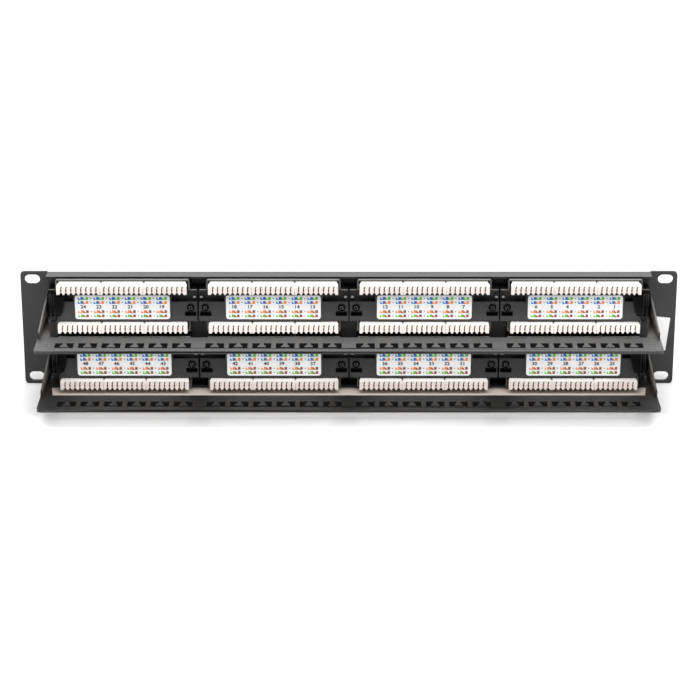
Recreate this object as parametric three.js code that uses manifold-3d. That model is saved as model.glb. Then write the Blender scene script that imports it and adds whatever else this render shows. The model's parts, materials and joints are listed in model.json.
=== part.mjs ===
// 48-port 2U rack patch panel, seen from the punch-down side.
// Millimetres, +Z up, +X to the right of a person facing the rear, rear towards -Y.
// Depths are given as "d", measured rearwards from the back face of the rack ears.
import * as THREE from 'three'
import { mergeVertices } from 'three/addons/utils/BufferGeometryUtils.js'
import Module from 'manifold-3d'

const wasm = await Module()
wasm.setup()

// ---- driving dimensions ----------------------------------------------------
const GAP = 0.3 // clearance between neighbouring pieces
const STEEL = 2 // panel sheet thickness

const PANEL_W = 482.6 // 19 inch rack width over the ears
const PANEL_H = 88.1 // two rack units less the stacking clearance
const EAR_START = 223.5 // where the plain ear begins, from the centre line
const EAR_CORNER = 3
const SLOT_X = 232.55 // rack hole spacing 465.1 mm
const SLOT_Z = 38.1
const SLOT_W = 11.2
const SLOT_H = 7.0
const FLANGE_HALF = 221.5
const FLANGE_DEPTH = 9.7
const FLANGE_SHEET = 1.5
const FLANGE_DROP = 0.75 // folded edge sits this far inside the ears' height

const ROWS = { upper: 22.2, lower: -22.2 } // one rack unit apart, height of each port row
const MODULE_PITCH = 110.2
const MODULES = [-1.5, -0.5, 0.5, 1.5] // module positions in pitches
const PORTS_PER_MODULE = 6
const PORT_PITCH = 15.6

const COVER_HALF_W = 54.7 // over the screw ears
const COVER_EAR_H = 12
const COVER_BODY_W = 49.1
const COVER_BODY_H = 19.2
const COVER_BACK = 12
const RIM_H = 20.2 // frame around the outer side of each punch-down row, behind the flange
const RIM_START = 10.1
const RIM_BACK = 13
const LABEL_PLATE_W = 35.8
const LABEL_PLATE_H = 10.3
const LABEL_PLATE_BACK = 17.4
const SCREW_PLATE_W = 54.4 // raised band either side of the label plate
const SCREW_PLATE_LOW = -10.7
const SCREW_PLATE_TOP = 4.3
const SCREW_PLATE_BACK = 16.8
const POCKET = { x0: 45.4, x1: 53.8, z0: -6.8, z1: -3, depth: 5 }
const PIN_X = 52.6
const PIN_Z = 7.2
const PIN_R = 1.1
const PIN_BACK = 15.6
const WINDOW_W = 47.8
const WINDOW_LOW = 10.8
const WINDOW_HIGH = 18.8

const IDC_HALF_W = 47.5
const IDC_ROOT_W = 45.4
const IDC_FRONT = 9.9
const IDC_BACK = 22.2
const IDC_LOW = 11.4
const IDC_HIGH = 18.5
const IDC_SLOT_PITCH = 3.64
const IDC_BLOCK_PITCH = 31.2
const IDC_BLOCKS = 3
const IDC_SLOTS = 8
const IDC_SLOT_DEPTH = 6.4

const BOARD_FRONT = 8
const BOARD_BACK = 9.6
const BOARD_HALF_W = 46.4
const BOARD_HALF_H = 17.4

const JACK_HALF_W = 46.9
const JACK_HALF_H = 7.6
const JACK_FRONT = -6.5 // stands proud of the panel's front face
const JACK_BACK = 7.7
const JACK_DEPTH = 12.4
const PORT_W = 11.8
const PORT_H = 6.8

const SCREW_X = 49.8 // from the module centre
const SCREW_HOLE_R = 1.75
const SCREW_SHANK_R = 1.35
const SCREW_HEAD_R = 2.8
const SCREW_HEAD_H = 1.4

const CLIP_IN = 213.6
const CLIP_OUT = 219.9
const CLIP_BACK = 20.8
const PIN_CLEAR = [216, 219.4] // relief in the clip for the cover's locating pin

const BAR_HALF = 221.5
const BAR_SHEET = 1.2
const TRAY_DROP = 5.1 // tray surface below the port row
const TRAY_FAR = 66
const TRAY_NEAR = 93.7
const TRAY_CORNER = 3
const LIP_H = 2.1
const SKIRT_H = 11 // folded down along the edge that faces the sockets
const ARM_FRONT = 2.6
const ARM_TOP_FRONT = 8.4
const ARM_TOP_BACK = -1.2
const LEDGE_W = 7.2 // gusset folded inwards along the foot of each arm
const LEDGE_FRONT = 22
const TIE_GROUP_PITCH = 106.4
const TIE_PITCH = 16.6
const TIE_W = 13.3
const TIE_FAR = 77.4
const TIE_NEAR = 87.2
const TIE_NECK = 2.8
const TIE_HEAD = 5.8

// the frame's origin is the middle of the whole part's box
const REAR_FACE_Y = (TRAY_NEAR + JACK_FRONT) / 2

// ---- materials -------------------------------------------------------------
const coat = (name, color, roughness, metalness) =>
  new THREE.MeshStandardMaterial({ name, color, roughness, metalness })
const materials = {
  panel: () => coat('powder_coated_steel', 0x4b4a49, 0.55, 0.2),
  bar: () => coat('powder_coated_steel', 0x5a5958, 0.5, 0.2),
  cover: () => coat('black_abs', 0x3c3b3a, 0.6, 0),
  clip: () => coat('black_nylon', 0x1b1b1c, 0.45, 0),
  idc: () => coat('ivory_polycarbonate', 0xeeeae0, 0.4, 0),
  board: () => coat('green_circuit_board', 0x1e5a34, 0.5, 0),
  jack: () => coat('black_pbt', 0x161617, 0.45, 0),
  screw: () => coat('black_zinc_steel', 0x232324, 0.35, 0.8),
}

// ---- solid helpers ---------------------------------------------------------
function manifoldOf(geometry) {
  const g = geometry.index ? geometry.clone() : geometry
  g.deleteAttribute('normal')
  g.deleteAttribute('uv')
  const m = mergeVertices(g, 1e-4)
  const mesh = new wasm.Mesh({
    numProp: 3,
    vertProperties: Float32Array.from(m.attributes.position.array),
    triVerts: Uint32Array.from(m.index.array),
  })
  return new wasm.Manifold(mesh)
}

function geometryOf(solid) {
  const out = solid.getMesh()
  const g = new THREE.BufferGeometry()
  g.setAttribute('position', new THREE.BufferAttribute(Float32Array.from(out.vertProperties), 3))
  g.setIndex(new THREE.BufferAttribute(Uint32Array.from(out.triVerts), 1))
  g.computeVertexNormals()
  return g
}

// a box from x0 to x1, depth d0 to d1 behind the ears, height z0 to z1
function box(x0, x1, d0, d1, z0, z1) {
  const g = new THREE.BoxGeometry(x1 - x0, d1 - d0, z1 - z0)
  g.translate((x0 + x1) / 2, REAR_FACE_Y - (d0 + d1) / 2, (z0 + z1) / 2)
  return manifoldOf(g)
}

function roundedRect(halfW, halfH, r, steps = 4) {
  const points = []
  const corners = [[1, 1, 0], [-1, 1, 1], [-1, -1, 2], [1, -1, 3]]
  for (const [sx, sy, quarter] of corners) {
    for (let i = 0; i <= steps; i++) {
      const a = (quarter + i / steps) * Math.PI / 2
      const x = sx * (halfW - r) + r * Math.cos(a)
      const y = sy * (halfH - r) + r * Math.sin(a)
      points.push(new THREE.Vector2(x, y))
    }
  }
  return points
}

function shapeOf(points) {
  return new THREE.Shape(points.map((p) => new THREE.Vector2(p.x, p.y)))
}

// a profile drawn in X and Z, running from depth d0 to depth d1
function acrossDepth(points, d0, d1, x = 0, z = 0) {
  const g = new THREE.ExtrudeGeometry(shapeOf(points), { depth: d1 - d0, bevelEnabled: false })
  g.rotateX(Math.PI / 2)
  g.translate(x, REAR_FACE_Y - d0, z)
  return manifoldOf(g)
}

// a profile drawn in X and d, running from height z0 to height z1
function upwards(points, z0, z1, x = 0) {
  const flipped = points.map((p) => new THREE.Vector2(p.x, -p.y))
  const g = new THREE.ExtrudeGeometry(shapeOf(flipped), { depth: z1 - z0, bevelEnabled: false })
  g.translate(x, REAR_FACE_Y, z0)
  return manifoldOf(g)
}

// a profile drawn in d and Z, running from x0 to x1
function sideways(points, x0, x1) {
  const flipped = points.map((p) => new THREE.Vector2(-p.x, p.y))
  const g = new THREE.ExtrudeGeometry(shapeOf(flipped), { depth: x1 - x0, bevelEnabled: false })
  // shape x -> world Y, shape y -> world Z, extrusion -> world X
  const turn = new THREE.Matrix4().makeBasis(
    new THREE.Vector3(0, 1, 0),
    new THREE.Vector3(0, 0, 1),
    new THREE.Vector3(1, 0, 0),
  )
  g.applyMatrix4(turn)
  g.translate(x0, REAR_FACE_Y, 0)
  return manifoldOf(g)
}

// a round rod along the depth
function rod(radius, d0, d1, x, z, sides = 12) {
  const g = new THREE.CylinderGeometry(radius, radius, d1 - d0, sides)
  g.translate(x, REAR_FACE_Y - (d0 + d1) / 2, z)
  return manifoldOf(g)
}

const v = (x, y) => new THREE.Vector2(x, y)

const group = new THREE.Group()
group.name = 'patch_panel'

function addPiece(name, solid, material) {
  const mesh = new THREE.Mesh(geometryOf(solid), material)
  mesh.name = name
  group.add(mesh)
}

// ---- front panel: flat face, two folded flanges, two rack ears ---------------
function frontPanel() {
  const h = PANEL_H / 2
  let panel = box(-EAR_START, EAR_START, -STEEL, 0, -h, h)
  for (const side of [-1, 1]) {
    const [z0, z1] = [h - FLANGE_DROP - FLANGE_SHEET, h - FLANGE_DROP]
    const flange = side > 0 ? [z0, z1] : [-z1, -z0]
    panel = panel.add(box(-FLANGE_HALF, FLANGE_HALF, -STEEL, FLANGE_DEPTH, ...flange))
    // relief above the fold, between the ears
    const relief = side > 0 ? [z1, h + 1] : [-h - 1, -z1]
    panel = panel.subtract(box(-FLANGE_HALF, FLANGE_HALF, -9, 1, ...relief))
  }
  for (const side of [-1, 1]) {
    const earHalf = (PANEL_W / 2 - EAR_START) / 2
    const earX = side * (EAR_START + earHalf)
    const outline = roundedRect(earHalf + EAR_CORNER, h, EAR_CORNER)
    const ear = acrossDepth(outline, -STEEL, 0, earX - side * EAR_CORNER)
    const outside = side > 0 ? [EAR_START, 300] : [-300, -EAR_START]
    panel = panel.add(ear.intersect(box(...outside, -STEEL, 0, -h, h)))
    for (const z of [-SLOT_Z, SLOT_Z]) {
      const slot = roundedRect(SLOT_W / 2, SLOT_H / 2, SLOT_H / 2, 5)
      panel = panel.subtract(acrossDepth(slot, -9, 9, side * SLOT_X, z))
    }
  }
  for (const rowZ of Object.values(ROWS)) {
    for (const k of MODULES) {
      const x = k * MODULE_PITCH
      const opening = roundedRect(JACK_HALF_W + GAP, JACK_HALF_H + GAP, 0.6, 2)
      panel = panel.subtract(acrossDepth(opening, -9, 9, x, rowZ))
      for (const side of [-1, 1]) {
        panel = panel.subtract(rod(SCREW_HOLE_R, -9, 9, x + side * SCREW_X, rowZ, 10))
      }
    }
  }
  return panel
}

// ---- module cover: shell with IDC windows, label plate and screw ears --------
function moduleCover(x, z) {
  const body = roundedRect(COVER_BODY_W, COVER_BODY_H, 1.6, 3)
  const ears = roundedRect(COVER_HALF_W, COVER_EAR_H, 1, 2)
  let cover = acrossDepth(body, GAP, COVER_BACK, x, z)
  cover = cover.add(acrossDepth(ears, GAP, COVER_BACK, x, z))
  const inside = COVER_BACK - 1
  const rim = acrossDepth(roundedRect(COVER_BODY_W, RIM_H, 1.6, 3), RIM_START, RIM_BACK, x, z)
    .subtract(box(x - 60, x + 60, inside, 30, z - COVER_EAR_H, z + COVER_EAR_H))
  cover = cover.add(rim)
  cover = cover.add(box(x - LABEL_PLATE_W, x + LABEL_PLATE_W, inside, LABEL_PLATE_BACK,
    z - LABEL_PLATE_H, z + LABEL_PLATE_H))
  cover = cover.add(box(x - SCREW_PLATE_W, x + SCREW_PLATE_W, inside, SCREW_PLATE_BACK,
    z + SCREW_PLATE_LOW, z + SCREW_PLATE_TOP))
  // hollow towards the panel
  cover = cover.subtract(box(x - WINDOW_W, x + WINDOW_W, -1, COVER_BACK - 1.4,
    z - WINDOW_HIGH, z + WINDOW_HIGH))
  cover = cover.subtract(box(x - LABEL_PLATE_W + 1.4, x + LABEL_PLATE_W - 1.4, 5,
    LABEL_PLATE_BACK - 1.4, z - LABEL_PLATE_H + 1.4, z + LABEL_PLATE_H - 1.4))
  for (const side of [-1, 1]) {
    const span = (a, b) => (side > 0 ? [x + a, x + b] : [x - b, x - a])
    // window for one punch-down row
    const height = side > 0 ? [z + WINDOW_LOW, z + WINDOW_HIGH] : [z - WINDOW_HIGH, z - WINDOW_LOW]
    cover = cover.subtract(box(x - WINDOW_W, x + WINDOW_W, 5, 30, ...height))
    // locating pin, screw hole and the latch pocket below it
    cover = cover.add(rod(PIN_R, inside, PIN_BACK, x + side * PIN_X, z + PIN_Z))
    cover = cover.subtract(rod(SCREW_HOLE_R, -1, 30, x + side * SCREW_X, z, 10))
    cover = cover.subtract(box(...span(POCKET.x0, POCKET.x1), SCREW_PLATE_BACK - POCKET.depth, 30,
      z + POCKET.z0, z + POCKET.z1))
  }
  return cover
}

// ---- punch-down row: three blocks of eight slots -----------------------------
function idcRow(x, z0, z1) {
  const outline = [v(-IDC_ROOT_W, IDC_FRONT), v(-IDC_ROOT_W, COVER_BACK + 0.4)]
  outline.push(v(-IDC_HALF_W, IDC_BACK - 3.4), v(-IDC_HALF_W, IDC_BACK - 0.8))
  outline.push(v(-IDC_HALF_W + 0.8, IDC_BACK))
  for (let b = 0; b < IDC_BLOCKS; b++) {
    const blockX = (b - (IDC_BLOCKS - 1) / 2) * IDC_BLOCK_PITCH
    for (let i = 0; i < IDC_SLOTS; i++) {
      const sx = blockX + (i - (IDC_SLOTS - 1) / 2) * IDC_SLOT_PITCH
      outline.push(v(sx - 0.8, IDC_BACK))
      outline.push(v(sx - 0.35, IDC_BACK - IDC_SLOT_DEPTH))
      outline.push(v(sx + 0.35, IDC_BACK - IDC_SLOT_DEPTH))
      outline.push(v(sx + 0.8, IDC_BACK))
    }
  }
  outline.push(v(IDC_HALF_W - 0.8, IDC_BACK))
  outline.push(v(IDC_HALF_W, IDC_BACK - 0.8), v(IDC_HALF_W, IDC_BACK - 3.4))
  outline.push(v(IDC_ROOT_W, COVER_BACK + 0.4), v(IDC_ROOT_W, IDC_FRONT))
  return upwards(outline, z0, z1, x)
}

// ---- six-port jack block: open sockets towards the front ---------------------
function jackBlock(x, z) {
  let block = box(x - JACK_HALF_W, x + JACK_HALF_W, JACK_FRONT, JACK_BACK,
    z - JACK_HALF_H, z + JACK_HALF_H)
  for (let p = 0; p < PORTS_PER_MODULE; p++) {
    const px = x + (p - (PORTS_PER_MODULE - 1) / 2) * PORT_PITCH
    const top = z + 4.6
    const low = top - PORT_H
    const w = PORT_W / 2
    const end = JACK_FRONT + JACK_DEPTH
    // plug mouth with the stepped latch keyway under it
    const mouth = [v(px - w, top), v(px - w, low), v(px - 3.1, low), v(px - 3.1, low - 1.6)]
    mouth.push(v(px - 1.7, low - 1.6), v(px - 1.7, low - 2.9), v(px + 1.7, low - 2.9))
    mouth.push(v(px + 1.7, low - 1.6), v(px + 3.1, low - 1.6), v(px + 3.1, low))
    mouth.push(v(px + w, low), v(px + w, top))
    block = block.subtract(acrossDepth(mouth, JACK_FRONT - 2, end))
  }
  return block
}

// ---- cover screw: domed pan head with a cross recess -------------------------
function coverScrew(x, z) {
  const base = SCREW_PLATE_BACK + GAP
  const profile = [v(0, 0), v(SCREW_HEAD_R, 0), v(SCREW_HEAD_R, SCREW_HEAD_H * 0.45)]
  profile.push(v(SCREW_HEAD_R * 0.8, SCREW_HEAD_H * 0.85), v(0, SCREW_HEAD_H))
  const head = new THREE.LatheGeometry(profile, 14)
  head.rotateX(Math.PI)
  head.translate(x, REAR_FACE_Y - base, z)
  let screw = manifoldOf(head)
  screw = screw.add(rod(SCREW_SHANK_R, -1.1, base + 0.2, x, z, 8))
  const far = base + SCREW_HEAD_H + 1
  const recess = box(x - 1.6, x + 1.6, base + 0.6, far, z - 0.35, z + 0.35)
    .add(box(x - 0.35, x + 0.35, base + 0.6, far, z - 1.6, z + 1.6))
  return screw.subtract(recess)
}

// ---- bar clip: end block that carries one arm of a support bar ---------------
function barClip(side, z) {
  const seat = SCREW_PLATE_BACK + GAP
  const low = COVER_BACK + GAP
  const span = (a, b) => (side > 0 ? [a, b] : [-b, -a])
  // head above the screw plate, body in front of it, foot below
  let clip = box(...span(CLIP_IN, CLIP_OUT), low, CLIP_BACK, z + SCREW_PLATE_TOP + GAP, z + 11.4)
  clip = clip.subtract(box(...span(PIN_CLEAR[0], PIN_CLEAR[1]), 5, PIN_BACK + GAP, z, z + 9))
  clip = clip.add(box(...span(CLIP_IN, CLIP_OUT), seat, CLIP_BACK, z - 8, z + 11.4))
  clip = clip.add(box(...span(CLIP_IN, CLIP_IN + 4), seat, seat + 2.4, z - 10.2, z - 7))
  // two pockets leave an upright rib between them
  clip = clip.subtract(box(...span(CLIP_IN + 1.2, CLIP_OUT - 3.1), seat + 1, 30, z - 5.8, z + 2.6))
  clip = clip.subtract(box(...span(CLIP_OUT - 1.9, CLIP_OUT + 1), seat + 1, 30, z - 5.8, z + 2.6))
  // sloping wing that laps the label plate
  const wing = [v(206.6, 9.6), v(CLIP_IN + 1, 9.6), v(CLIP_IN + 1, -4.6), v(209.4, -4.6)]
  const drawn = side > 0 ? wing : wing.map((p) => v(-p.x, p.y)).reverse()
  clip = clip.add(acrossDepth(drawn, LABEL_PLATE_BACK + GAP, CLIP_BACK, 0, z))
  // boss that the fork at the end of the arm rides on
  const boss = box(...span(CLIP_OUT - 4, CLIP_OUT + 2.2), seat + 0.2, seat + 1.9, z - 2, z + 2)
  return clip.add(boss)
}

// ---- cable support bar: slotted tray on two side arms ------------------------
function tieSlot(x) {
  const half = TIE_W / 2
  const end = TIE_NEAR - 1.9
  const neck = TIE_NECK / 2
  const head = TIE_HEAD / 2
  const outline = [v(x - half, TIE_FAR), v(x - neck, TIE_FAR), v(x - neck, TIE_FAR + 3.1)]
  outline.push(v(x - head, end - 2), v(x - head, end), v(x + head, end), v(x + head, end - 2))
  outline.push(v(x + neck, TIE_FAR + 3.1))
  outline.push(v(x + neck, TIE_FAR), v(x + half, TIE_FAR), v(x + half, TIE_NEAR))
  outline.push(v(x - half, TIE_NEAR))
  return outline
}

// plan of the tray from depth start to its rounded rear edge
function trayOutline(inset, start) {
  const half = BAR_HALF - inset
  const near = TRAY_NEAR - inset
  const r = TRAY_CORNER - inset * 0.7
  const turns = [0, 30, 60, 90].map((deg) => (deg * Math.PI) / 180)
  const corner = turns.map((t) => [r * (1 - Math.cos(t)), near - r * (1 - Math.sin(t))])
  const left = corner.map(([dx, d]) => v(-half + dx, d))
  const right = corner.map(([dx, d]) => v(half - dx, d)).reverse()
  return [v(-half, start), ...left, ...right, v(half, start)]
}

function supportBar(rowZ) {
  const top = rowZ - TRAY_DROP
  const low = top - BAR_SHEET
  let bar = upwards(trayOutline(0, TRAY_FAR), low, top)
  for (const k of MODULES) {
    for (let p = 0; p < PORTS_PER_MODULE; p++) {
      const x = k * TIE_GROUP_PITCH + (p - (PORTS_PER_MODULE - 1) / 2) * TIE_PITCH
      bar = bar.subtract(upwards(tieSlot(x), low - 1, top + 1))
    }
  }
  // folded lip along the rear edge and round its corners, and a deeper skirt along the other
  const lip = upwards(trayOutline(0, TRAY_NEAR - 5), top - LIP_H, top - 0.2)
    .subtract(upwards(trayOutline(BAR_SHEET, TRAY_NEAR - 6), top - LIP_H - 1, top))
  bar = bar.add(lip)
  bar = bar.add(box(-BAR_HALF, BAR_HALF, TRAY_FAR, TRAY_FAR + BAR_SHEET, top - SKIRT_H, top))
  for (const side of [-1, 1]) {
    const x0 = side > 0 ? BAR_HALF - BAR_SHEET : -BAR_HALF
    // tapering arm with a forked front end
    const forkEnd = SCREW_PLATE_BACK + GAP + 2.3
    const arm = [v(ARM_FRONT + 1.5, rowZ + ARM_TOP_FRONT), v(ARM_FRONT, rowZ + ARM_TOP_FRONT - 1.5)]
    arm.push(v(ARM_FRONT, rowZ + 2.5), v(forkEnd, rowZ + 2.5), v(forkEnd, rowZ - 2.5))
    arm.push(v(ARM_FRONT, rowZ - 2.5), v(ARM_FRONT, low), v(TRAY_FAR + 1.2, low))
    arm.push(v(TRAY_FAR + 1.2, rowZ + ARM_TOP_BACK - 0.6), v(TRAY_FAR - 1, rowZ + ARM_TOP_BACK))
    bar = bar.add(sideways(arm, x0, x0 + BAR_SHEET))
    // gusset folded inwards along the arm's foot, widening towards the tray
    const gx = side * (BAR_HALF - BAR_SHEET / 2)
    const nx = side * (BAR_HALF - BAR_SHEET - 0.6)
    const ix = side * (BAR_HALF - BAR_SHEET - LEDGE_W)
    const ledge = [v(gx, TRAY_FAR + 0.5), v(gx, LEDGE_FRONT), v(nx, LEDGE_FRONT)]
    ledge.push(v(ix, TRAY_FAR - 2), v(ix, TRAY_FAR + 0.5))
    const drawn = side > 0 ? ledge : ledge.reverse()
    bar = bar.add(upwards(drawn, low, top))
  }
  return bar
}

// ---- assembly ----------------------------------------------------------------
addPiece('front_panel', frontPanel(), materials.panel())

for (const [row, z] of Object.entries(ROWS)) {
  MODULES.forEach((k, i) => {
    const x = k * MODULE_PITCH
    const tag = `${row}_${i + 1}`
    addPiece(`module_cover_${tag}`, moduleCover(x, z), materials.cover())
    const board = box(x - BOARD_HALF_W, x + BOARD_HALF_W, BOARD_FRONT, BOARD_BACK,
      z - BOARD_HALF_H, z + BOARD_HALF_H)
    addPiece(`circuit_board_${tag}`, board, materials.board())
    addPiece(`jack_block_${tag}`, jackBlock(x, z), materials.jack())
    addPiece(`idc_row_${tag}_top`, idcRow(x, z + IDC_LOW, z + IDC_HIGH), materials.idc())
    addPiece(`idc_row_${tag}_bottom`, idcRow(x, z - IDC_HIGH, z - IDC_LOW), materials.idc())
  })
  // every module is held by screws, except where a bar clip takes the outer ear
  MODULES.slice(1).forEach((k, i) => {
    const seam = (k - 0.5) * MODULE_PITCH
    const reach = MODULE_PITCH / 2 - SCREW_X
    addPiece(`cover_screw_${row}_${i + 1}_left`, coverScrew(seam - reach, z), materials.screw())
    addPiece(`cover_screw_${row}_${i + 1}_right`, coverScrew(seam + reach, z), materials.screw())
  })
  addPiece(`bar_clip_${row}_left`, barClip(-1, z), materials.clip())
  addPiece(`bar_clip_${row}_right`, barClip(1, z), materials.clip())
  addPiece(`support_bar_${row}`, supportBar(z), materials.bar())
}

export default group
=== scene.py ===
"""Rack patch panel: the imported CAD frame, detailed pieces on it, materials, floor, light and camera.

Lengths are millimetres unless a comment says metres: x across, d rearwards from the back of the
rack ears, z up.
"""
import json
import math

import bmesh
import bpy
from mathutils import Matrix, Vector

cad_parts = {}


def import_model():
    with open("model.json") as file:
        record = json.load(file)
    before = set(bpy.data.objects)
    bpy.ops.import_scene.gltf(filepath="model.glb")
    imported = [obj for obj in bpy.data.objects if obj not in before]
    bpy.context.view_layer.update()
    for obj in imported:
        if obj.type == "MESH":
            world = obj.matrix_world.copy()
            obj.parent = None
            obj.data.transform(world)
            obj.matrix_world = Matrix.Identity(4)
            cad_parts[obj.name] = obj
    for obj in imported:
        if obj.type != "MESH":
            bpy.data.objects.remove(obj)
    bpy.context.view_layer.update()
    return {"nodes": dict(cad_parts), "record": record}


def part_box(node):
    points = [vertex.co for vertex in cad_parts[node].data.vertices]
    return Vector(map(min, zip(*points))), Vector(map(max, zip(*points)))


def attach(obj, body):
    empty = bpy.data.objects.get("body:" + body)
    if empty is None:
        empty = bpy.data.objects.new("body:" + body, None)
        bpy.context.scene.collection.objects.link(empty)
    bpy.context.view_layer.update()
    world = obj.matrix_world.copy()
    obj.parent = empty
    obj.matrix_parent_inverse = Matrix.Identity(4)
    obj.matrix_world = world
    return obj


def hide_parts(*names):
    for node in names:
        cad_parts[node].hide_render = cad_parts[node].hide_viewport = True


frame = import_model()

# ---- where things are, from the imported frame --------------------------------
SHEET = 2.0  # panel steel
FACE_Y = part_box("front_panel")[1][1] - SHEET / 1000  # back of the ears, metres
BODY = "panel"
NODES = frame["nodes"]


def middle(node, axis):
    """Middle of a node's box along axis 0, 1 or 2."""
    low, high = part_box(node)
    return (low[axis] + high[axis]) * 500


def reach(node):
    """How far rearwards a node stands."""
    return (FACE_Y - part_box(node)[0][1]) * 1000


ROWS = {row: middle(f"jack_block_{row}_1", 2) for row in ("upper", "lower")}
PITCH = middle("jack_block_upper_2", 0) - middle("jack_block_upper_1", 0)
MODULES = [-1.5, -0.5, 0.5, 1.5]  # module places, in pitches from the middle
HEAD_H = 1.4  # height of a screw head
SEAT_BACK = reach("cover_screw_upper_1_left") - HEAD_H  # where the screw heads sit
PLATE_BACK = reach("module_cover_upper_1")  # face of the label plates
IDC_BACK = reach("idc_row_upper_1_top")
IDC_LOW, IDC_HIGH = (corner[2] * 1000 - ROWS["upper"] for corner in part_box("idc_row_upper_1_top"))
IDC_H = IDC_HIGH - IDC_LOW
CLIP_BACK = reach("bar_clip_upper_left")
TRAY_FAR = 66.0  # where the arms meet the tray
TRAY_NEAR = reach("support_bar_upper")
TRAY_Z = {m["name"]: m["pos_m"][2] * 1000 for m in frame["record"]["mounts"]}
ARM_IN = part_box("support_bar_upper")[1][0] * 1000 - 1.2  # inner face of the arms
GUSSET_W = 7.8  # widest part of the gusset at the foot of each arm, and a little more
SLOT_PITCH = 3.64  # of the punch-down slots
BLOCK_PITCH = 31.2  # of the blocks of eight slots
PORT_PITCH = 15.6
FAR = 1000  # past every edge of the part


def pt(x, d, z):
    """Where (x, d, z) is in the scene, in metres."""
    return Vector((x / 1000, FACE_Y - d / 1000, z / 1000))


# ---- materials --------------------------------------------------------------
def material(name, color, rough, metal=0.0, spec=0.5):
    m = bpy.data.materials.new(name)
    m.use_nodes = True
    b = m.node_tree.nodes["Principled BSDF"]
    b.inputs["Base Color"].default_value = (*color, 1)
    b.inputs["Roughness"].default_value = rough
    b.inputs["Metallic"].default_value = metal
    b.inputs["Specular IOR Level"].default_value = spec
    return m, m.node_tree, b


def noise(tree, scale, detail=3.0, rough=0.5):
    coords = tree.nodes.new("ShaderNodeTexCoord")
    n = tree.nodes.new("ShaderNodeTexNoise")
    n.inputs["Scale"].default_value = scale
    n.inputs["Detail"].default_value = detail
    n.inputs["Roughness"].default_value = rough
    tree.links.new(coords.outputs["Object"], n.inputs["Vector"])
    return n.outputs["Fac"]


def ramp(tree, fac, stops):
    r = tree.nodes.new("ShaderNodeValToRGB")
    r.color_ramp.elements[0].position, r.color_ramp.elements[1].position = stops[0][0], stops[-1][0]
    r.color_ramp.elements[0].color = (*stops[0][1], 1)
    r.color_ramp.elements[1].color = (*stops[-1][1], 1)
    for pos, col in stops[1:-1]:
        r.color_ramp.elements.new(pos).color = (*col, 1)
    tree.links.new(fac, r.inputs["Fac"])
    return r.outputs["Color"]


def remap(tree, fac, low, high):
    r = tree.nodes.new("ShaderNodeMapRange")
    r.inputs["To Min"].default_value = low
    r.inputs["To Max"].default_value = high
    tree.links.new(fac, r.inputs["Value"])
    return r.outputs["Result"]


def bump(tree, bsdf, height, strength, distance):
    b = tree.nodes.new("ShaderNodeBump")
    b.inputs["Strength"].default_value = strength
    b.inputs["Distance"].default_value = distance
    tree.links.new(height, b.inputs["Height"])
    tree.links.new(b.outputs["Normal"], bsdf.inputs["Normal"])


def shade(color, k):
    return tuple(c * k for c in color)


def sums(tree, op, a, b=None):
    """One Math node; a and b are sockets or numbers."""
    n = tree.nodes.new("ShaderNodeMath")
    n.operation = op
    for socket, value in zip(n.inputs, (a, b)):
        if isinstance(value, (int, float)):
            socket.default_value = value
        elif value is not None:
            tree.links.new(value, socket)
    return n.outputs[0]


def split(tree, vector):
    n = tree.nodes.new("ShaderNodeSeparateXYZ")
    tree.links.new(vector, n.inputs[0])
    return n.outputs


def fade(tree, y, start, end):
    """Rises from 0 at depth start to 1 at depth end."""
    n = tree.nodes.new("ShaderNodeMapRange")
    n.inputs["From Min"].default_value = FACE_Y - start / 1000
    n.inputs["From Max"].default_value = FACE_Y - end / 1000
    tree.links.new(y, n.inputs["Value"])
    return n.outputs["Result"]


def measured(tree, what, place):
    """What a limit holds for, in metres."""
    if what == "d":
        return sums(tree, "SUBTRACT", FACE_Y, place["Y"])
    if what == "z":
        return place["Z"]
    size = sums(tree, "ABSOLUTE", place["X" if what == "|x|" else "Z"])
    if what == "row":
        return sums(tree, "ABSOLUTE", sums(tree, "SUBTRACT", size, ROWS["upper"] / 1000))
    return size


def inside(tree, limits):
    """1 where every limit holds, else 0. A limit is (measure, low, high), and the measures are "z", "d",
    the sizes "|x|" and "|z|", and "row": the distance above or below the middle of the port row. Two
    more have no length: "up" is how far a face looks upwards, from -1 to 1, and "fade" isn't a limit
    but a rise from 0 to 1 between two depths."""
    coords = tree.nodes.new("ShaderNodeTexCoord")
    place = split(tree, coords.outputs["Object"])
    total = 1.0
    for what, low, high in limits:
        if what == "fade":
            total = sums(tree, "MULTIPLY", fade(tree, place["Y"], low, high), total)
            continue
        if what == "up":
            v = split(tree, coords.outputs["Normal"])["Z"]
        else:
            v = measured(tree, what, place)
            low, high = low / 1000, high / 1000
        held = sums(tree, "MULTIPLY", sums(tree, "GREATER_THAN", v, low), sums(tree, "LESS_THAN", v, high))
        total = sums(tree, "MULTIPLY", held, total)
    return total


def blend(tree, fac, base, other):
    mix = tree.nodes.new("ShaderNodeMix")
    mix.data_type = "RGBA"
    rgba = [i for i in mix.inputs if i.type == "RGBA"]
    rgba[1].default_value = (*other, 1)
    tree.links.new(base, rgba[0])
    tree.links.new(fac, mix.inputs[0])
    return [o for o in mix.outputs if o.type == "RGBA"][0]


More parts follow.
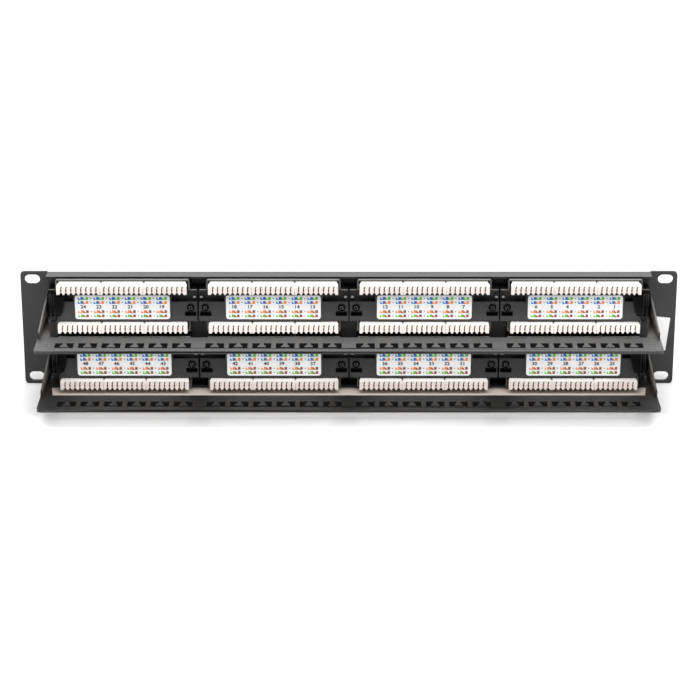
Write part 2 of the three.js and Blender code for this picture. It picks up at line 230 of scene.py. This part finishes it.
def coated(name, color, rough, spread=0.10, grain=1900, depth=0.00006, metal=0.0, spec=0.5,
           zones=(), dull=()):
    """A surface with fine grain, a slow drift of tone and of gloss: powder coat or moulded plastic.

    Each zone is (colour, limits): painted highlights on edges, painted shade in hollows, painted
    reflections and the like. Where the limits in dull hold it is metallic, which takes the sheen off a
    dark colour."""
    m, t, b = material(name, color, rough, metal, spec)
    drift = noise(t, 38, 4, 0.6)
    col = ramp(t, drift, [(0.3, shade(color, 1 - spread)), (0.7, shade(color, 1 + spread))])
    for other, limits in zones:
        col = blend(t, inside(t, limits), col, other)
    if dull:
        held = 0.0
        for limits in dull:
            held = sums(t, "MAXIMUM", inside(t, limits), held)
        t.links.new(held, b.inputs["Metallic"])
    t.links.new(col, b.inputs["Base Color"])
    fine = noise(t, grain, 2, 0.55)
    t.links.new(remap(t, fine, rough - 0.07, rough + 0.09), b.inputs["Roughness"])
    bump(t, b, fine, 0.45, depth)
    return m


# ---- parts of a surface that have a tone of their own ------------------------
PAINTED_SHADE_BLACK = (0.007, 0.007, 0.007)  # painted shade: the hollow under each tray and the flanges' near edges
PLATE_PAINTED_LIGHT = (0.034, 0.034, 0.034)  # painted light: the screw and label plates lighter than the rest of the black cover
# painted light: the row frames' faces lighter than the rest of the black cover
FRAME_PAINTED_LIGHT = (0.09, 0.09, 0.09)
EDGE_PAINTED_HIGHLIGHT = (0.27, 0.265, 0.25)  # painted highlights on the top edges of the covers
# painted highlight on the arms' upper edges
LIT_EDGE = (0.11, 0.11, 0.107)
# painted glints on the clip's ribs
RIB_PAINTED_GLINT = (0.05, 0.05, 0.05)
# painted shade on the front of each gusset
GUSSET_PAINTED_SHADE = (0.008, 0.008, 0.008)
PANEL_PAINTED_SHADE = (0.009, 0.009, 0.009)  # painted shade on the back of the panel, between the flanges
# painted shade, warm, on the teeth of the punch-down rows
TEETH_PAINTED_SHADE = (0.95, 0.85, 0.79)
IVORY_PAINTED_REFLECTION = (0.13, 0.112, 0.10)  # painted reflection of the ivory rows on the steel
# the same painted reflection, a little darker, on the gussets
IVORY_PAINTED_REFLECTION_LOW = (0.115, 0.097, 0.087)
FLANGE_EDGE = 9.5  # a little less than the depth of the flanges
SCREW_PLATE = SEAT_BACK - 0.4
COVER_FACE, FRAME_FACE, PIN_END = 12.0, 13.0, 15.6  # depths of the cover's ears, row frames and pins
EAR_RISE, FRAME_RISE, PIN_RISE = 12.0, 20.2, 7.2  # their heights above the middle of the row
CLIP_RIBS = (214.65, 216.5, 217.8)  # edges of the clip's upright ribs


def level(low, high):
    """Limits between two heights above the middle of each port row."""
    return [("z", z + low, z + high) for z in ROWS.values()]


def bar_zones(tray):
    """Painted shade on the gussets fading into a painted reflection of the ivory rows, the same reflection
    on the arms' inner faces, painted highlights on the arms' upper edges, and painted shade in the hollow
    under the tray, with no sheen there or on the gussets.
    """
    before_tray = ("d", -FAR, TRAY_FAR - 0.5)
    gusset = [("|x|", ARM_IN - GUSSET_W, ARM_IN + 0.1), before_tray, ("z", tray - 2, tray + 0.4)]
    inner = [("|x|", ARM_IN - 1.3, ARM_IN + 0.1), before_tray, ("z", tray + 0.4, FAR), ("fade", 20, 56)]
    hollow = [("|x|", -1, ARM_IN - GUSSET_W), ("z", -FAR, tray - 0.3), ("d", -FAR, TRAY_NEAR - 1.5)]
    zones = [(GUSSET_PAINTED_SHADE, gusset),
             (IVORY_PAINTED_REFLECTION_LOW, gusset + [("fade", 26, 60)]),
             (IVORY_PAINTED_REFLECTION, inner),
             (LIT_EDGE, [("|x|", ARM_IN - 0.4, FAR), ("up", 0.6, 2), before_tray]),
             (PAINTED_SHADE_BLACK, hollow)]
    return {"zones": zones, "dull": [gusset, hollow]}


def cover_zones():
    """Painted light on the plates and row frames, then painted highlights on the edges of frames, ears and
    pins.
    """
    zones = [(PLATE_PAINTED_LIGHT, [("d", SCREW_PLATE, FAR)]),
             (FRAME_PAINTED_LIGHT, [("d", FRAME_FACE - 0.8, FAR), ("row", EAR_RISE + 0.1, FAR)])]
    for band in level(FRAME_RISE - 0.4, FRAME_RISE + 0.5):
        zones.append((EDGE_PAINTED_HIGHLIGHT, [("d", FRAME_FACE - 0.7, FAR), band]))
    for band in level(EAR_RISE - 0.35, EAR_RISE + 0.3):
        zones.append((EDGE_PAINTED_HIGHLIGHT, [("d", COVER_FACE - 0.6, COVER_FACE + 0.06), band]))
    for band in level(PIN_RISE - 0.2, PIN_RISE + 1.2):
        zones.append((EDGE_PAINTED_HIGHLIGHT, [("d", PIN_END - 0.6, PIN_END + 0.1), band]))
    return zones


# painted shade on the panel: black on its flanges' near edges, dark on its back between the flanges
PANEL_ZONES = [(PAINTED_SHADE_BLACK, [("d", FLANGE_EDGE, FAR)]),
               (PANEL_PAINTED_SHADE, [("|x|", -1, 220.8), ("|z|", -1, 41.5), ("d", -0.5, 0.3)])]
# painted shade on the teeth, near the foot of each row of slots
TEETH_SHADE_ZONES = [(TEETH_PAINTED_SHADE, [("d", IDC_BACK - 1.2, FAR), band])
               for low in (IDC_LOW, -IDC_HIGH) for band in level(low - 1, low + 5.8)]
# painted glints along the edges of the clip's ribs
CLIP_GLINT_ZONES = [(RIB_PAINTED_GLINT, [("|x|", low, low + 0.35), ("d", CLIP_BACK - 1.3, CLIP_BACK + 1.2)])
              for low in CLIP_RIBS]

MAT = {
    "panel": coated("powder_coat_panel", (0.024, 0.0235, 0.023), 0.42, spec=0.34, zones=PANEL_ZONES),
    "bar_upper": coated("powder_coat_bar_upper", (0.0245, 0.0245, 0.024), 0.38, spec=0.36,
                        **bar_zones(TRAY_Z["upper_tray"])),
    # the lower bar is painted darker than the upper: painted shade from the upper bar
    "bar_lower": coated("powder_coat_bar_lower_painted_shade", (0.018, 0.018, 0.0177), 0.38, spec=0.34,
                        **bar_zones(TRAY_Z["lower_tray"])),
    "cover": coated("moulded_black_cover", (0.007, 0.007, 0.007), 0.36, 0.06, 1500, 0.00004, spec=0.4,
                    zones=cover_zones()),
    "clip": coated("moulded_black_clip", (0.002, 0.002, 0.002), 0.34, 0.1, 1500, 0.00001, spec=0.12,
                   zones=CLIP_GLINT_ZONES),
    "idc": coated("ivory_plastic", (0.95, 0.925, 0.885), 0.4, 0.025, 900, 0.00002, zones=TEETH_SHADE_ZONES),
    "jack": coated("moulded_black_jack", (0.012, 0.012, 0.013), 0.34, 0.1, 1500, 0.00003),
    "board": coated("green_solder_mask", (0.01, 0.07, 0.025), 0.35, 0.15, 700, 0.00003),
    "screw": coated("black_zinc", (0.002, 0.002, 0.002), 0.45, 0.2, 1500, 0.00001, 0.0, 0.06),
    # painted highlight: the lighter band of each screw head
    "screw_painted_highlight": coated("black_zinc_painted_highlight", (0.12, 0.12, 0.12), 0.3, 0.2, 1500, 0.00001, 0.0, 0.5),
    "slot_shade": coated("ivory_plastic_slot_painted_shade", (0.13, 0.075, 0.045), 0.6, 0.1, 900, 0.00002, spec=0.1),
    "paper": coated("label_paper", (0.94, 0.955, 0.97), 0.55, 0.015, 1200, 0.00001),
    "sticker": coated("ear_sticker", (0.83, 0.83, 0.82), 0.4, 0.02, 1200, 0.00001),
    "copper": coated("phosphor_bronze", (0.10, 0.05, 0.03), 0.4, 0.12, 1200, 0.00001, 0.6),
    "gold": coated("gold_contact", (0.83, 0.58, 0.22), 0.24, 0.08, 1200, 0.00001, 1.0),
    "ink": coated("grey_ink", (0.03, 0.025, 0.035), 0.6, 0.05, 900, 0.00001),
    "white_ink": coated("white_ink", (0.72, 0.72, 0.70), 0.6, 0.03, 900, 0.00001),
    "blue": coated("blue_ink", (0.005, 0.18, 0.58), 0.55, 0.05, 900, 0.00001),
    "green": coated("green_ink", (0.12, 0.52, 0.035), 0.55, 0.05, 900, 0.00001),
    "orange": coated("orange_ink", (0.9, 0.25, 0.042), 0.55, 0.05, 900, 0.00001),
    "brown": coated("brown_ink", (0.32, 0.068, 0.04), 0.55, 0.05, 900, 0.00001),
}


# ---- mesh building ----------------------------------------------------------
def slab(bm, poly, along, a0, a1, slot_index=0):
    """Extrudes a closed 2-D outline. along "d": points are (x, z); "z": (x, d); "x": (d, z)."""
    def place(p, a):
        if along == "d":
            return pt(p[0], a, p[1])
        if along == "z":
            return pt(p[0], p[1], a)
        return pt(a, p[0], p[1])

    low = [bm.verts.new(place(p, a0)) for p in poly]
    high = [bm.verts.new(place(p, a1)) for p in poly]
    made = [bm.faces.new(low), bm.faces.new(high)]
    n = len(poly)
    for i in range(n):
        made.append(bm.faces.new((low[i], low[(i + 1) % n], high[(i + 1) % n], high[i])))
    for f in made:
        f.material_index = slot_index
    return made


def rect(x0, x1, z0, z1):
    return [(x0, z0), (x1, z0), (x1, z1), (x0, z1)]


def rounded(cx, cz, hw, hh, r, steps=5):
    out = []
    for q, (sx, sz) in enumerate(((1, 1), (-1, 1), (-1, -1), (1, -1))):
        for i in range(steps + 1):
            a = (q + i / steps) * math.pi / 2
            out.append((cx + sx * (hw - r) + r * math.cos(a), cz + sz * (hh - r) + r * math.sin(a)))
    return out


def finish_mesh(bm, name):
    bmesh.ops.recalc_face_normals(bm, faces=bm.faces)
    me = bpy.data.meshes.new(name)
    bm.to_mesh(me)
    bm.free()
    return me


def add(name, mesh, mats, body=BODY, bevel=0.0):
    obj = bpy.data.objects.new(name, mesh)
    bpy.context.scene.collection.objects.link(obj)
    for m in mats if isinstance(mats, (list, tuple)) else [mats]:
        mesh.materials.append(MAT[m])
    if bevel:
        soften(obj, bevel)
    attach(obj, body)
    return obj


def soften(obj, width, angle=35):
    mod = obj.modifiers.new("edge_radius", "BEVEL")
    mod.width = width / 1000
    mod.segments = 2
    mod.limit_method = "ANGLE"
    mod.angle_limit = math.radians(angle)
    mod.harden_normals = False
    mod.use_clamp_overlap = True


# ---- carried-over CAD nodes: material and rounded edges ---------------------
SLOTS = {"front_panel": "panel", "module_cover": "cover", "circuit_board": "board",
         "jack_block": "jack", "support_bar": "", "bar_clip": "clip"}
EDGE = {"front_panel": 0.3, "module_cover": 0.3, "circuit_board": 0.1,
        "jack_block": 0.18, "support_bar": 0.3, "bar_clip": 0.3}
for node, obj in NODES.items():
    for key, mat in SLOTS.items():
        if node.startswith(key):
            if key == "support_bar":
                mat = "bar_" + node.split("_")[-1]
            for s in obj.material_slots:
                s.material = MAT[mat]
            if not obj.material_slots:
                obj.data.materials.append(MAT[mat])
            flat = obj.modifiers.new("flat_faces", "DECIMATE")
            flat.decimate_type = "DISSOLVE"
            flat.angle_limit = math.radians(1.0)
            soften(obj, EDGE[key], 40)


# ---- punch-down rows --------------------------------------------------------
def slot_centres():
    for b in (-1, 0, 1):
        for i in range(8):
            yield b * BLOCK_PITCH + (i - 3.5) * SLOT_PITCH


# one side of a slot, bottom to top: arch between two teeth, throat, barb, hooked top
ARCH = [(1.2, 0.0), (1.14, 0.45), (0.96, 0.9), (0.62, 1.25), (0.2, 1.42)]
THROAT_RIGHT = [(0.28, 2.4), (0.32, 2.9), (0.62, 3.4), (0.32, 3.9), (0.36, 5.0), (0.9, 6.2)]
THROAT_LEFT = [(-0.28, 2.4), (-0.36, 3.0), (-0.5, 3.6), (-0.32, 4.1), (-0.28, 5.2), (0.2, 6.45)]
SLOT_POINTS = 2 * len(ARCH) + len(THROAT_RIGHT) + len(THROAT_LEFT)
BLOCK_HALF = BLOCK_PITCH / 2 - 0.05
ROW_FRONT = 9.9
COMB_FRONT = 17.4  # depth where the slots end
ROW_END = 47.3  # outer end of a row, from its middle
ROOT_END = 46.0  # the same at its front


def block_outline(b, outer, slotted):
    """Rear view of one block of eight slots, x from the row's middle, z from its foot."""
    h = IDC_H
    x0 = -outer if b < 0 else b * BLOCK_PITCH - BLOCK_HALF
    x1 = outer if b > 0 else b * BLOCK_PITCH + BLOCK_HALF
    left, right = [(x0, h - 1.4), (x0 + 0.9, h)], [(x1 - 0.9, h), (x1, h - 1.4)]
    if b < 0:
        left = [(x0, 0.35), (x0, h - 0.7), (x0 + 0.18, h - 0.22), (x0 + 0.6, h)]
    if b > 0:
        right = [(x1 - 0.6, h), (x1 - 0.18, h - 0.22), (x1, h - 0.7), (x1, 0.35)]
    out = left + right + [(x1 - (0.2 if b > 0 else 0.1), 0)]
    if slotted:
        for i in reversed(range(8)):
            sx = b * BLOCK_PITCH + (i - 3.5) * SLOT_PITCH
            out += [(sx + dx, z) for dx, z in ARCH + THROAT_RIGHT]
            out += [(sx + dx, z) for dx, z in reversed(THROAT_LEFT)]
            out += [(sx - dx, z) for dx, z in reversed(ARCH)]
    return out + [(x0 + (0.2 if b < 0 else 0.1), 0)]


def loft(bm, poly0, d0, poly1, d1):
    """Joins two rear-view outlines that have the same number of corners."""
    low = [bm.verts.new(pt(p[0], d0, p[1])) for p in poly0]
    high = [bm.verts.new(pt(p[0], d1, p[1])) for p in poly1]
    bm.faces.new(low)
    # the face at the far end, seen through the slots, gets the second material: painted shade
    bm.faces.new(high).material_index = 1
    n = len(poly0)
    for i in range(n):
        bm.faces.new((low[i], low[(i + 1) % n], high[(i + 1) % n], high[i]))


def idc_mesh(x, z0):
    bm = bmesh.new()
    for b in (-1, 0, 1):
        def moved(poly):
            return [(x + p[0], z0 + p[1]) for p in poly]
        loft(bm, moved(block_outline(b, ROOT_END, False)), ROW_FRONT,
             moved(block_outline(b, ROW_END - 0.3, False)), COMB_FRONT)
        comb = moved(block_outline(b, ROW_END, True))
        made = slab(bm, comb, "d", COMB_FRONT, IDC_BACK)
        # the walls of the throats get painted shade; the faces after the first two follow the outline
        first = 2 + len(comb) - 1 - 8 * SLOT_POINTS
        for j in range(8):
            for e in range(len(ARCH) - 1, SLOT_POINTS - len(ARCH)):
                made[first + j * SLOT_POINTS + e].material_index = 1
    return finish_mesh(bm, "punch_down_row")


BLADES = ((1.7, 3.2, 0.1), (3.6, 5.3, -0.06))  # bottom, top and lean of each blade
BLADE_HALF = 0.28


def contact_mesh(x, z0):
    """Two slanted blades in each slot."""
    bm = bmesh.new()
    for sx in slot_centres():
        cx = x + sx
        for low, high, lean in BLADES:
            poly = [(cx - BLADE_HALF - lean, z0 + low), (cx + BLADE_HALF - lean, z0 + low),
                    (cx + BLADE_HALF + lean, z0 + high), (cx - BLADE_HALF + lean, z0 + high)]
            slab(bm, poly, "d", COMB_FRONT + 0.2, IDC_BACK - 0.5)
    return finish_mesh(bm, "punch_down_contacts")


for row, rz in ROWS.items():
    for i, k in enumerate(MODULES):
        x = k * PITCH
        tag = f"{row}_{i + 1}"
        for part, z0 in (("top", rz + IDC_LOW), ("bottom", rz - IDC_HIGH)):
            piece = add(f"punch_row_{tag}_{part}", idc_mesh(x, z0), ["idc", "slot_shade"], bevel=0.14)
            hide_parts(f"idc_row_{tag}_{part}")
            add(f"punch_contacts_{tag}_{part}", contact_mesh(x, z0), "copper")


# ---- cover screws -----------------------------------------------------------
SEAM_TO_SCREW = 5.3
HEAD_R = 2.8
SHANK_R = 1.35
SHANK_END = -1.1  # depth of the shank's tip
HEAD_SIDE = 0.6  # height of the head's straight side
DOME = (20, 40, 60, 76)  # degrees up the dome
PAINTED_HIGHLIGHT_BAND = 7  # the band of the dome painted bright: a painted highlight


def screw_mesh(x, z):
    bm = bmesh.new()
    base, r, n = SEAT_BACK, HEAD_R, 32
    rings = [(SHANK_R, SHANK_END), (SHANK_R, base)]
    rings += [(r - 0.1, base), (r, base + 0.15), (r, base + HEAD_SIDE)]
    for a in DOME:
        t = math.radians(a)
        rings.append((r * math.cos(t), base + HEAD_SIDE + (HEAD_H - HEAD_SIDE) * math.sin(t)))
    loops = []
    for rad, d in rings:
        loops.append([bm.verts.new(pt(x + rad * math.cos(i * math.tau / n), d,
                                      z + rad * math.sin(i * math.tau / n))) for i in range(n)])
    bm.faces.new(loops[0])
    bm.faces.new(loops[-1])
    for k, (a, b) in enumerate(zip(loops, loops[1:])):
        for i in range(n):
            face = bm.faces.new((a[i], a[(i + 1) % n], b[(i + 1) % n], b[i]))
            face.material_index = 1 if k == PAINTED_HIGHLIGHT_BAND else 0
    return finish_mesh(bm, "cover_screw")


def cross_cutter(x, z):
    bm = bmesh.new()
    w, far = 0.4, 1.7
    cross = [(w, w), (w, far), (-w, far), (-w, w), (-far, w), (-far, -w),
             (-w, -w), (-w, -far), (w, -far), (w, -w), (far, -w), (far, w)]
    turn = math.radians(18)
    pts = [(x + p[0] * math.cos(turn) - p[1] * math.sin(turn),
            z + p[0] * math.sin(turn) + p[1] * math.cos(turn)) for p in cross]
    slab(bm, pts, "d", SEAT_BACK + 0.55, SEAT_BACK + 3)
    return finish_mesh(bm, "cross_cutter")


def cut(obj, cutter_mesh):
    """Subtracts a cutter from obj and keeps the result as its mesh."""
    cutter = bpy.data.objects.new("cutter", cutter_mesh)
    bpy.context.scene.collection.objects.link(cutter)
    mod = obj.modifiers.new("recess", "BOOLEAN")
    mod.object = cutter
    mod.operation = "DIFFERENCE"
    mod.solver = "EXACT"
    deps = bpy.context.evaluated_depsgraph_get()
    mesh = bpy.data.meshes.new_from_object(obj.evaluated_get(deps))
    obj.modifiers.remove(mod)
    obj.data = mesh
    bpy.data.objects.remove(cutter)


for row, rz in ROWS.items():
    for i in range(3):
        seam = (i - 1) * PITCH
        for side, sx in (("left", seam - SEAM_TO_SCREW), ("right", seam + SEAM_TO_SCREW)):
            obj = bpy.data.objects.new(f"screw_{row}_{i + 1}_{side}", screw_mesh(sx, rz))
            bpy.context.scene.collection.objects.link(obj)
            obj.data.materials.append(MAT["screw"])
            obj.data.materials.append(MAT["screw_painted_highlight"])
            cut(obj, cross_cutter(sx, rz))
            soften(obj, 0.08, 50)
            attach(obj, BODY)
            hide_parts(f"cover_screw_{row}_{i + 1}_{side}")


# ---- printed numbers --------------------------------------------------------
WIDEN = 1.1  # figures are this much wider than the font's


def digits(name, text, height, x, d, z, mat, facing_rear=True):
    """Flat raised figures, lying on a face that looks rearwards or forwards."""
    curve = bpy.data.curves.new(name, "FONT")
    curve.body = text
    curve.size = height / 1000 / 0.7  # a figure is 0.7 of the font size high
    curve.extrude = 0.00002
    curve.offset = 0.00012  # thickens the strokes
    curve.align_x = "CENTER"
    curve.align_y = "CENTER"
    curve.resolution_u = 3
    tmp = bpy.data.objects.new(name + "_tmp", curve)
    bpy.context.scene.collection.objects.link(tmp)
    deps = bpy.context.evaluated_depsgraph_get()
    mesh = bpy.data.meshes.new_from_object(tmp.evaluated_get(deps))
    bpy.data.objects.remove(tmp)
    turn = Matrix.Rotation(math.radians(90), 4, "X")
    if not facing_rear:
        turn = Matrix.Rotation(math.radians(180), 4, "Z") @ turn
    mesh.transform(Matrix.Translation(pt(x, d, z)) @ turn @ Matrix.Diagonal((WIDEN, 1, 1, 1)))
    add(name, mesh, mat)


# ---- colour-code labels -----------------------------------------------------
COLUMN = 11.45  # from one port's marks to the next
MARK_W = 1.9
MARK_HALF_H = 1.08
MARK_START = -3.75  # left edge of a port's marks
LABEL_RISE, LABEL_HALF_W, LABEL_HALF_H, LABEL_R = 0.25, 34.6, 9.15, 2.0
MARK_ROWS = ((7.1, "blue", "green"), (4.0, "blue", "orange"),
             (-3.1, "orange", "brown"), (-6.4, "green", "brown"))
INKS = ["blue", "green", "orange", "brown", "ink"]


def label(x, z, tag, first):
    bm = bmesh.new()
    paper = rounded(x, z + LABEL_RISE, LABEL_HALF_W, LABEL_HALF_H, LABEL_R, 6)
    slab(bm, paper, "d", PLATE_BACK + 0.02, PLATE_BACK + 0.24)
    add(f"label_{tag}", finish_mesh(bm, "label"), "paper")
    bm = bmesh.new()
    d0, d1 = PLATE_BACK + 0.25, PLATE_BACK + 0.30
    for c in range(6):
        cx = x + (c - 2.5) * COLUMN
        for dz, left, right in MARK_ROWS:
            cz, h = z + dz, MARK_HALF_H
            for j, ink in enumerate((left, left, right, right)):
                x0 = cx + MARK_START + j * MARK_W
                x1 = x0 + MARK_W
                if j % 2:
                    poly = rect(x0, x1, cz - h, cz + h)
                else:
                    poly = [(x0, cz + h), (x0, cz - h), (x1, cz - h)]
                slab(bm, poly, "d", d0, d1, INKS.index(ink))
            if c < 5:
                dot = rounded(cx + COLUMN / 2, cz, 0.4, 0.4, 0.39, 3)
                slab(bm, dot, "d", d0, d1, INKS.index("ink"))
    add(f"label_marks_{tag}", finish_mesh(bm, "label_marks"), INKS)
    for c in range(6):
        cx = x + (c - 2.5) * COLUMN
        n = first - c
        digits(f"label_number_{n:02d}", str(n), 2.5, cx, PLATE_BACK + 0.28, z + 0.55, "ink")


number = {"upper": 24, "lower": 48}
for row, rz in ROWS.items():
    for i, k in enumerate(MODULES):
        label(k * PITCH, rz, f"{row}_{i + 1}", number[row] - 6 * i)


# ---- ear sticker ------------------------------------------------------------
def sticker():
    """Plain white sticker, stuck slightly askew on one ear."""
    tilt = math.radians(-5.7)
    cx, cz = 230.6, -4.5
    pts = [(cx + px * math.cos(tilt) - pz * math.sin(tilt), cz + px * math.sin(tilt) + pz * math.cos(tilt))
           for px, pz in rounded(0, 0, 5.6, 13.0, 0.6, 3)]
    bm = bmesh.new()
    slab(bm, pts, "d", 0.02, 0.16)
    add("ear_sticker", finish_mesh(bm, "ear_sticker"), "sticker")


sticker()


# ---- RJ45 contact springs and front numbers ---------------------------------
SPRING_PITCH = 1.02
SPRING_PATH = [(-5.2, 4.35), (-4.8, 4.0), (2.5, 1.3), (3.3, 1.2), (3.9, 1.6), (5.6, 4.3)]  # (d, z)


def spring_mesh(x, z):
    """Eight bent wires in each of six sockets, rising from the back of the mouth."""
    bm = bmesh.new()
    for p in range(6):
        px = x + (p - 2.5) * PORT_PITCH
        for c in range(8):
            cx = px + (c - 3.5) * SPRING_PITCH
            w, t = 0.21, 0.16
            top = [(d, z + dz + t) for d, dz in SPRING_PATH]
            low = [(d, z + dz - t) for d, dz in reversed(SPRING_PATH)]
            slab(bm, top + low, "x", cx - w, cx + w)
    return finish_mesh(bm, "contact_springs")


for row, rz in ROWS.items():
    for i, k in enumerate(MODULES):
        x = k * PITCH
        add(f"contact_springs_{row}_{i + 1}", spring_mesh(x, rz), "gold")
        for p in range(6):
            px = x + (p - 2.5) * PORT_PITCH
            n = number[row] - 6 * i - p
            digits(f"port_number_{n:02d}", str(n), 2.6, px, -SHEET - 0.03, rz + 10.6, "white_ink", False)


# ---- floor, light, camera ---------------------------------------------------
# in metres, except the limits, which are millimetres like the others
FLOOR_HALF = 6.0
# painted light and shade on the floor: how strongly it glows, where a shadow is painted under the panel,
# and where the glow rises
FLOOR_GLOW = 0.56
PAINTED_SHADOW_UNDER_PANEL = [("|x|", -1, 220.5), ("d", 1.1, 31.6)]
GLOW_TOWARDS_CAMERA = [("fade", 57.6, 77.6)]


def stage():
    """White paper with a painted shadow, warm, under the panel, and painted light: it glows from the tray
    towards the camera.
    """
    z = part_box("front_panel")[0][2]
    bm = bmesh.new()
    corners = [Vector((sx * FLOOR_HALF, sy * FLOOR_HALF, z))
               for sx, sy in ((-1, -1), (1, -1), (1, 1), (-1, 1))]
    bm.faces.new([bm.verts.new(c) for c in corners])
    me = bpy.data.meshes.new("floor")
    bm.to_mesh(me)
    bm.free()
    obj = bpy.data.objects.new("floor", me)
    bpy.context.scene.collection.objects.link(obj)
    m, t, b = material("floor_paper_painted_shadow_and_glow", (0.86, 0.86, 0.86), 0.8)
    tone = ramp(t, noise(t, 3.0, 3), [(0.3, (0.855, 0.855, 0.855)), (0.7, (0.865, 0.865, 0.865))])
    # painted shadow under the panel, warm with the colour the ivory rows throw on it
    shaded = inside(t, PAINTED_SHADOW_UNDER_PANEL)
    t.links.new(blend(t, shaded, tone, (0.6, 0.53, 0.46)), b.inputs["Base Color"])
    # painted light: the floor glows from the tray towards the camera
    b.inputs["Emission Color"].default_value = (1, 1, 1, 1)
    glow = sums(t, "MULTIPLY", inside(t, GLOW_TOWARDS_CAMERA), FLOOR_GLOW)
    t.links.new(glow, b.inputs["Emission Strength"])
    me.materials.append(m)


def area(name, where, target, size, power, color=(1, 1, 1)):
    light = bpy.data.lights.new(name, "AREA")
    light.shape = "RECTANGLE"
    light.size, light.size_y = size
    light.energy = power
    light.color = color
    obj = bpy.data.objects.new(name, light)
    obj.location = where
    obj.rotation_euler = (Vector(target) - Vector(where)).to_track_quat("-Z", "Y").to_euler()
    bpy.context.scene.collection.objects.link(obj)


def world(strength):
    w = bpy.data.worlds.new("studio")
    w.use_nodes = True
    w.node_tree.nodes["Background"].inputs["Color"].default_value = (1, 1, 1, 1)
    w.node_tree.nodes["Background"].inputs["Strength"].default_value = strength
    bpy.context.scene.world = w


stage()
world(0.3)
area("top_softbox", (0, -0.15, 1.3), (0, 0, 0), (1.8, 0.9), 16)
area("rear_softbox", (0.1, -0.9, 1.3), (0, 0, 0), (1.4, 0.7), 18)
area("far_softbox", (0, 1.6, 0.8), (0, 0, 0.02), (2.4, 0.9), 18)

CAMERA_DISTANCE = 1.8
CAMERA_ELEVATION = 20.3  # degrees above the panel's middle
CAMERA_SIDE = 0.000814  # metres right of the panel's middle
CAMERA_DIP = 20.823  # degrees the camera looks down
LENS_MM = 125.07


def camera():
    cam = bpy.data.cameras.new("camera")
    cam.sensor_width = 36
    cam.lens = LENS_MM
    cam.clip_end = 20
    obj = bpy.data.objects.new("camera", cam)
    e = math.radians(CAMERA_ELEVATION)
    obj.location = (CAMERA_SIDE, FACE_Y - CAMERA_DISTANCE * math.cos(e), CAMERA_DISTANCE * math.sin(e))
    obj.rotation_euler = (math.radians(90 - CAMERA_DIP), 0, 0)
    bpy.context.scene.collection.objects.link(obj)
    bpy.context.scene.camera = obj


camera()
bpy.context.scene.view_settings.view_transform = "Standard"
